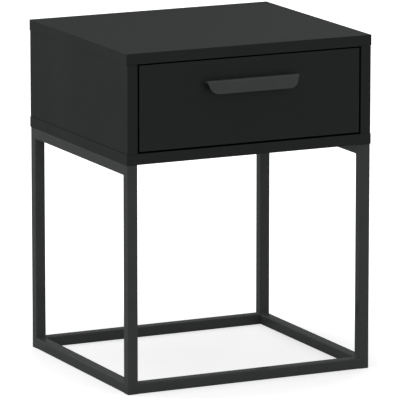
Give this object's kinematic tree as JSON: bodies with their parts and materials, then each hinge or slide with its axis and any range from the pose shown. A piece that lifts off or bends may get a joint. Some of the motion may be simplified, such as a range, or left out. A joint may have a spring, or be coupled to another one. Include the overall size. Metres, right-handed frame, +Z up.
{
  "type": "side table",
  "caption": "Small bedside table: a board cabinet with an inset drawer and lip handle, on an open frame of square steel tube.",
  "frame": {"origin": "middle of the footprint (handle included) on the floor", "axes": "+X to the table's right as seen from the front, +Y from the front to the back, +Z up; the drawer opens towards -Y"},
  "size_m": [0.396, 0.3612, 0.502],
  "materials": {
    "black_board": "black melamine on particle board, fine matt texture, edge banded",
    "drawer_box_board": "black melamine on 12 mm particle board",
    "black_fibreboard": "black lacquered thin fibreboard, matt",
    "frame_powder_coat": "black powder coat on steel tube, gloss with a fine orange peel",
    "handle_powder_coat": "black powder coat on bent steel strip, gloss",
    "runner_steel": "zinc plated rolled steel",
    "zinc_fixings": "zinc plated steel",
    "cam_metal": "die cast zinc, dull",
    "leg_plug_plastic": "moulded black plastic"
  },
  "bodies": {
    "table": {"back_base_rail": "frame_powder_coat", "back_left_leg": "frame_powder_coat", "back_left_leg_plug": "leg_plug_plastic", "back_panel": "black_fibreboard", "back_right_leg": "frame_powder_coat", "back_right_leg_plug": "leg_plug_plastic", "bottom_panel": "black_board", "front_base_rail": "frame_powder_coat", "front_left_leg": "frame_powder_coat", "front_left_leg_plug": "leg_plug_plastic", "front_right_leg": "frame_powder_coat", "front_right_leg_plug": "leg_plug_plastic", "left_back_cam": "cam_metal", "left_back_cam_bolt": "zinc_fixings", "left_back_frame_screw": "zinc_fixings", "left_base_rail": "frame_powder_coat", "left_cabinet_back_runner_screw": "zinc_fixings", "left_cabinet_front_runner_screw": "zinc_fixings", "left_cabinet_member": "runner_steel", "left_front_cam": "cam_metal", "left_front_cam_bolt": "zinc_fixings", "left_front_frame_screw": "zinc_fixings", "left_side_panel": "black_board", "left_top_rail": "frame_powder_coat", "right_back_cam": "cam_metal", "right_back_cam_bolt": "zinc_fixings", "right_back_frame_screw": "zinc_fixings", "right_base_rail": "frame_powder_coat", "right_cabinet_back_runner_screw": "zinc_fixings", "right_cabinet_front_runner_screw": "zinc_fixings", "right_cabinet_member": "runner_steel", "right_front_cam": "cam_metal", "right_front_cam_bolt": "zinc_fixings", "right_front_frame_screw": "zinc_fixings", "right_side_panel": "black_board", "right_top_rail": "frame_powder_coat", "top_panel": "black_board"},
    "left_runner_middle": {"left_middle_member": "runner_steel"},
    "right_runner_middle": {"right_middle_member": "runner_steel"},
    "drawer": {"drawer_back": "drawer_box_board", "drawer_bottom": "black_fibreboard", "drawer_front": "black_board", "handle": "handle_powder_coat", "left_drawer_back_runner_screw": "zinc_fixings", "left_drawer_back_screw": "zinc_fixings", "left_drawer_cam": "cam_metal", "left_drawer_cam_bolt": "zinc_fixings", "left_drawer_front_runner_screw": "zinc_fixings", "left_drawer_member": "runner_steel", "left_drawer_side": "drawer_box_board", "left_handle_screw": "zinc_fixings", "right_drawer_back_runner_screw": "zinc_fixings", "right_drawer_back_screw": "zinc_fixings", "right_drawer_cam": "cam_metal", "right_drawer_cam_bolt": "zinc_fixings", "right_drawer_front_runner_screw": "zinc_fixings", "right_drawer_member": "runner_steel", "right_drawer_side": "drawer_box_board", "right_handle_screw": "zinc_fixings"}
  },
  "joints": [
    {"name": "drawer_slide", "type": "slide", "parent": "table", "child": "drawer", "axis": [0, -1, 0], "range_m": [0, 0.3]},
    {"name": "left_runner_slide", "type": "slide", "parent": "table", "child": "left_runner_middle", "axis": [0, -1, 0], "range_m": [0, 0.15]},
    {"name": "right_runner_slide", "type": "slide", "parent": "table", "child": "right_runner_middle", "axis": [0, -1, 0], "range_m": [0, 0.15]}
  ],
  "couplings": [
    {"joint": "left_runner_slide", "follows": "drawer_slide", "ratio": 0.5},
    {"joint": "right_runner_slide", "follows": "drawer_slide", "ratio": 0.5}
  ]
}
